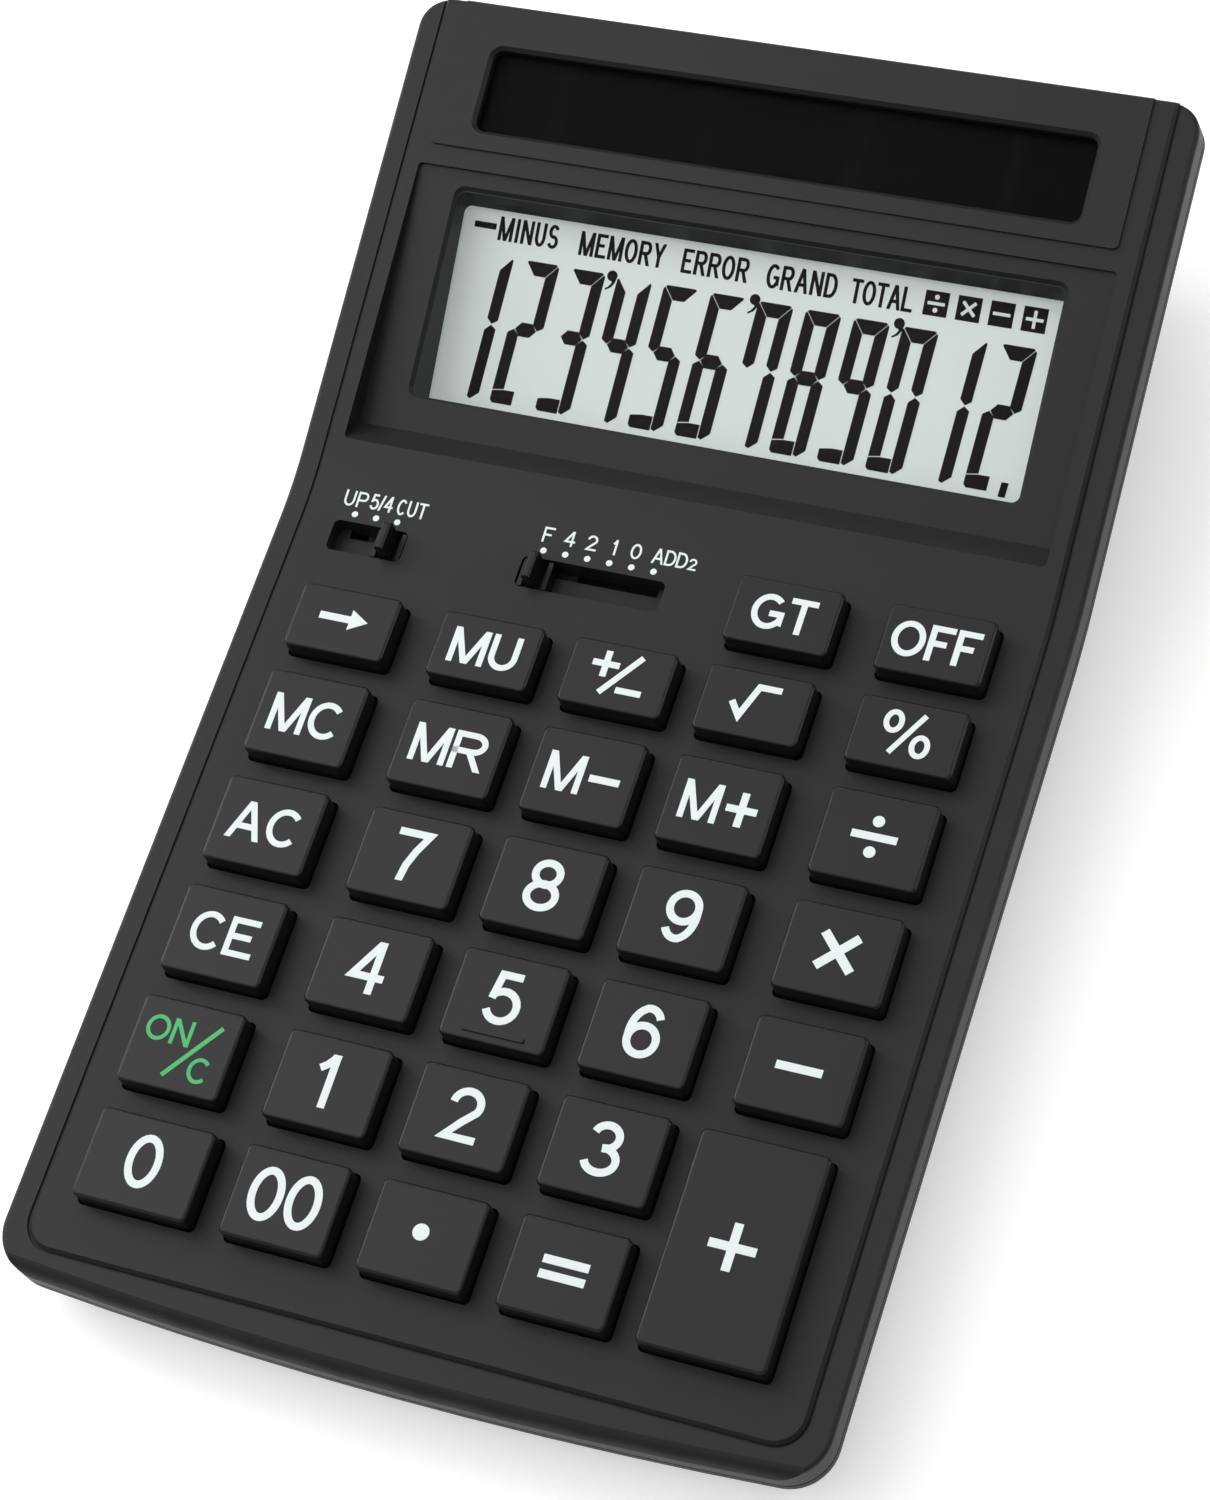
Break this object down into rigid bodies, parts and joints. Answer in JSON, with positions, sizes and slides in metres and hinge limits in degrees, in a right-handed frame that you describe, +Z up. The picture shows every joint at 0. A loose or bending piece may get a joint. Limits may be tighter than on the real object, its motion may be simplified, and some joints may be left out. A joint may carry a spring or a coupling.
{
  "type": "desk calculator",
  "caption": "Desk calculator: bent slab case with a flat key deck, a tilted head holding a recessed display and a solar cell, sliding switches, sprung keys and a wedge base on rubber feet.",
  "frame": {"origin": "centre of the footprint on the table, where the rubber feet rest", "axes": "+X to the right seen from the user, +Y away from the user towards the display, +Z up"},
  "size_m": [0.107, 0.1796, 0.0351],
  "materials": {
    "case": "fine-textured dark grey moulding",
    "base": "fine-textured dark grey moulding",
    "key": "smooth satin, darker than the case",
    "knob": "satin, ridged",
    "clear_window": "clear plate with polished faces",
    "display": "grey-green liquid crystal panel",
    "solar": "near-black cell plate",
    "inner_plastic": "pale moulding",
    "film": "amber film",
    "insulation": "insulated wire",
    "board": "green board",
    "resin": "black resin",
    "mat": "pale moulded rubber",
    "contact": "sprung sheet",
    "steel": "zinc-plated",
    "foot": "black rubber"
  },
  "bodies": {
    "case": {"upper_case": "case", "lower_case": "base", "battery_door": "base", "display_window": "clear_window", "lcd_panel": "display", "lcd_holder": "inner_plastic", "lcd_ribbon": "film", "solar_window": "clear_window", "solar_cell": "solar", "solar_leads": "insulation", "main_board": "board", "controller_chip": "resin", "dome_mat": "mat", "button_cell": "steel", "positive_contact": "contact", "negative_contact": "contact", "battery_leads": "insulation", "case_screws": "steel", "inner_screws": "steel", "door_screw": "steel", "rubber_feet": "foot"},
    "rounding_switch": {"rounding_slider": "knob", "rounding_wiper": "contact"},
    "decimal_switch": {"decimal_slider": "knob", "decimal_wiper": "contact"},
    "press_grand_total": {"key_grand_total": "key"},
    "press_off": {"key_off": "key"},
    "press_shift": {"key_shift": "key"},
    "press_markup": {"key_markup": "key"},
    "press_sign": {"key_sign": "key"},
    "press_root": {"key_root": "key"},
    "press_percent": {"key_percent": "key"},
    "press_memory_clear": {"key_memory_clear": "key"},
    "press_memory_recall": {"key_memory_recall": "key"},
    "press_memory_minus": {"key_memory_minus": "key"},
    "press_memory_plus": {"key_memory_plus": "key"},
    "press_divide": {"key_divide": "key"},
    "press_all_clear": {"key_all_clear": "key"},
    "press_seven": {"key_seven": "key"},
    "press_eight": {"key_eight": "key"},
    "press_nine": {"key_nine": "key"},
    "press_multiply": {"key_multiply": "key"},
    "press_clear_entry": {"key_clear_entry": "key"},
    "press_four": {"key_four": "key"},
    "press_five": {"key_five": "key"},
    "press_six": {"key_six": "key"},
    "press_minus": {"key_minus": "key"},
    "press_on_clear": {"key_on_clear": "key"},
    "press_one": {"key_one": "key"},
    "press_two": {"key_two": "key"},
    "press_three": {"key_three": "key"},
    "press_zero": {"key_zero": "key"},
    "press_double_zero": {"key_double_zero": "key"},
    "press_point": {"key_point": "key"},
    "press_equals": {"key_equals": "key"},
    "press_plus": {"key_plus": "key"}
  },
  "joints": [
    {"name": "rounding_slide", "type": "slide", "parent": "case", "child": "rounding_switch", "axis": [1, 0, 0], "range_m": [-0.00606, 0]},
    {"name": "decimal_slide", "type": "slide", "parent": "case", "child": "decimal_switch", "axis": [1, 0, 0], "range_m": [0, 0.01515]},
    {"name": "grand_total_press", "type": "slide", "parent": "case", "child": "press_grand_total", "axis": [0, -0.0349, 0.9994], "range_m": [-0.0016, 0], "stiffness_N_per_m": 300, "springref_m": 0.0004, "deforming": ["dome_mat"]},
    {"name": "off_press", "type": "slide", "parent": "case", "child": "press_off", "axis": [0, -0.0349, 0.9994], "range_m": [-0.0016, 0], "stiffness_N_per_m": 300, "springref_m": 0.0004, "deforming": ["dome_mat"]},
    {"name": "shift_press", "type": "slide", "parent": "case", "child": "press_shift", "axis": [0, -0.0349, 0.9994], "range_m": [-0.0016, 0], "stiffness_N_per_m": 300, "springref_m": 0.0004, "deforming": ["dome_mat"]},
    {"name": "markup_press", "type": "slide", "parent": "case", "child": "press_markup", "axis": [0, -0.0349, 0.9994], "range_m": [-0.0016, 0], "stiffness_N_per_m": 300, "springref_m": 0.0004, "deforming": ["dome_mat"]},
    {"name": "sign_press", "type": "slide", "parent": "case", "child": "press_sign", "axis": [0, -0.0349, 0.9994], "range_m": [-0.0016, 0], "stiffness_N_per_m": 300, "springref_m": 0.0004, "deforming": ["dome_mat"]},
    {"name": "root_press", "type": "slide", "parent": "case", "child": "press_root", "axis": [0, -0.0349, 0.9994], "range_m": [-0.0016, 0], "stiffness_N_per_m": 300, "springref_m": 0.0004, "deforming": ["dome_mat"]},
    {"name": "percent_press", "type": "slide", "parent": "case", "child": "press_percent", "axis": [0, -0.0349, 0.9994], "range_m": [-0.0016, 0], "stiffness_N_per_m": 300, "springref_m": 0.0004, "deforming": ["dome_mat"]},
    {"name": "memory_clear_press", "type": "slide", "parent": "case", "child": "press_memory_clear", "axis": [0, -0.0349, 0.9994], "range_m": [-0.0016, 0], "stiffness_N_per_m": 300, "springref_m": 0.0004, "deforming": ["dome_mat"]},
    {"name": "memory_recall_press", "type": "slide", "parent": "case", "child": "press_memory_recall", "axis": [0, -0.0349, 0.9994], "range_m": [-0.0016, 0], "stiffness_N_per_m": 300, "springref_m": 0.0004, "deforming": ["dome_mat"]},
    {"name": "memory_minus_press", "type": "slide", "parent": "case", "child": "press_memory_minus", "axis": [0, -0.0349, 0.9994], "range_m": [-0.0016, 0], "stiffness_N_per_m": 300, "springref_m": 0.0004, "deforming": ["dome_mat"]},
    {"name": "memory_plus_press", "type": "slide", "parent": "case", "child": "press_memory_plus", "axis": [0, -0.0349, 0.9994], "range_m": [-0.0016, 0], "stiffness_N_per_m": 300, "springref_m": 0.0004, "deforming": ["dome_mat"]},
    {"name": "divide_press", "type": "slide", "parent": "case", "child": "press_divide", "axis": [0, -0.0349, 0.9994], "range_m": [-0.0016, 0], "stiffness_N_per_m": 300, "springref_m": 0.0004, "deforming": ["dome_mat"]},
    {"name": "all_clear_press", "type": "slide", "parent": "case", "child": "press_all_clear", "axis": [0, -0.0349, 0.9994], "range_m": [-0.0016, 0], "stiffness_N_per_m": 300, "springref_m": 0.0004, "deforming": ["dome_mat"]},
    {"name": "seven_press", "type": "slide", "parent": "case", "child": "press_seven", "axis": [0, -0.0349, 0.9994], "range_m": [-0.0016, 0], "stiffness_N_per_m": 300, "springref_m": 0.0004, "deforming": ["dome_mat"]},
    {"name": "eight_press", "type": "slide", "parent": "case", "child": "press_eight", "axis": [0, -0.0349, 0.9994], "range_m": [-0.0016, 0], "stiffness_N_per_m": 300, "springref_m": 0.0004, "deforming": ["dome_mat"]},
    {"name": "nine_press", "type": "slide", "parent": "case", "child": "press_nine", "axis": [0, -0.0349, 0.9994], "range_m": [-0.0016, 0], "stiffness_N_per_m": 300, "springref_m": 0.0004, "deforming": ["dome_mat"]},
    {"name": "multiply_press", "type": "slide", "parent": "case", "child": "press_multiply", "axis": [0, -0.0349, 0.9994], "range_m": [-0.0016, 0], "stiffness_N_per_m": 300, "springref_m": 0.0004, "deforming": ["dome_mat"]},
    {"name": "clear_entry_press", "type": "slide", "parent": "case", "child": "press_clear_entry", "axis": [0, -0.0349, 0.9994], "range_m": [-0.0016, 0], "stiffness_N_per_m": 300, "springref_m": 0.0004, "deforming": ["dome_mat"]},
    {"name": "four_press", "type": "slide", "parent": "case", "child": "press_four", "axis": [0, -0.0349, 0.9994], "range_m": [-0.0016, 0], "stiffness_N_per_m": 300, "springref_m": 0.0004, "deforming": ["dome_mat"]},
    {"name": "five_press", "type": "slide", "parent": "case", "child": "press_five", "axis": [0, -0.0349, 0.9994], "range_m": [-0.0016, 0], "stiffness_N_per_m": 300, "springref_m": 0.0004, "deforming": ["dome_mat"]},
    {"name": "six_press", "type": "slide", "parent": "case", "child": "press_six", "axis": [0, -0.0349, 0.9994], "range_m": [-0.0016, 0], "stiffness_N_per_m": 300, "springref_m": 0.0004, "deforming": ["dome_mat"]},
    {"name": "minus_press", "type": "slide", "parent": "case", "child": "press_minus", "axis": [0, -0.0349, 0.9994], "range_m": [-0.0016, 0], "stiffness_N_per_m": 300, "springref_m": 0.0004, "deforming": ["dome_mat"]},
    {"name": "on_clear_press", "type": "slide", "parent": "case", "child": "press_on_clear", "axis": [0, -0.0349, 0.9994], "range_m": [-0.0016, 0], "stiffness_N_per_m": 300, "springref_m": 0.0004, "deforming": ["dome_mat"]},
    {"name": "one_press", "type": "slide", "parent": "case", "child": "press_one", "axis": [0, -0.0349, 0.9994], "range_m": [-0.0016, 0], "stiffness_N_per_m": 300, "springref_m": 0.0004, "deforming": ["dome_mat"]},
    {"name": "two_press", "type": "slide", "parent": "case", "child": "press_two", "axis": [0, -0.0349, 0.9994], "range_m": [-0.0016, 0], "stiffness_N_per_m": 300, "springref_m": 0.0004, "deforming": ["dome_mat"]},
    {"name": "three_press", "type": "slide", "parent": "case", "child": "press_three", "axis": [0, -0.0349, 0.9994], "range_m": [-0.0016, 0], "stiffness_N_per_m": 300, "springref_m": 0.0004, "deforming": ["dome_mat"]},
    {"name": "zero_press", "type": "slide", "parent": "case", "child": "press_zero", "axis": [0, -0.0349, 0.9994], "range_m": [-0.0016, 0], "stiffness_N_per_m": 300, "springref_m": 0.0004, "deforming": ["dome_mat"]},
    {"name": "double_zero_press", "type": "slide", "parent": "case", "child": "press_double_zero", "axis": [0, -0.0349, 0.9994], "range_m": [-0.0016, 0], "stiffness_N_per_m": 300, "springref_m": 0.0004, "deforming": ["dome_mat"]},
    {"name": "point_press", "type": "slide", "parent": "case", "child": "press_point", "axis": [0, -0.0349, 0.9994], "range_m": [-0.0016, 0], "stiffness_N_per_m": 300, "springref_m": 0.0004, "deforming": ["dome_mat"]},
    {"name": "equals_press", "type": "slide", "parent": "case", "child": "press_equals", "axis": [0, -0.0349, 0.9994], "range_m": [-0.0016, 0], "stiffness_N_per_m": 300, "springref_m": 0.0004, "deforming": ["dome_mat"]},
    {"name": "plus_press", "type": "slide", "parent": "case", "child": "press_plus", "axis": [0, -0.0349, 0.9994], "range_m": [-0.0016, 0], "stiffness_N_per_m": 300, "springref_m": 0.0004, "deforming": ["dome_mat"]}
  ]
}
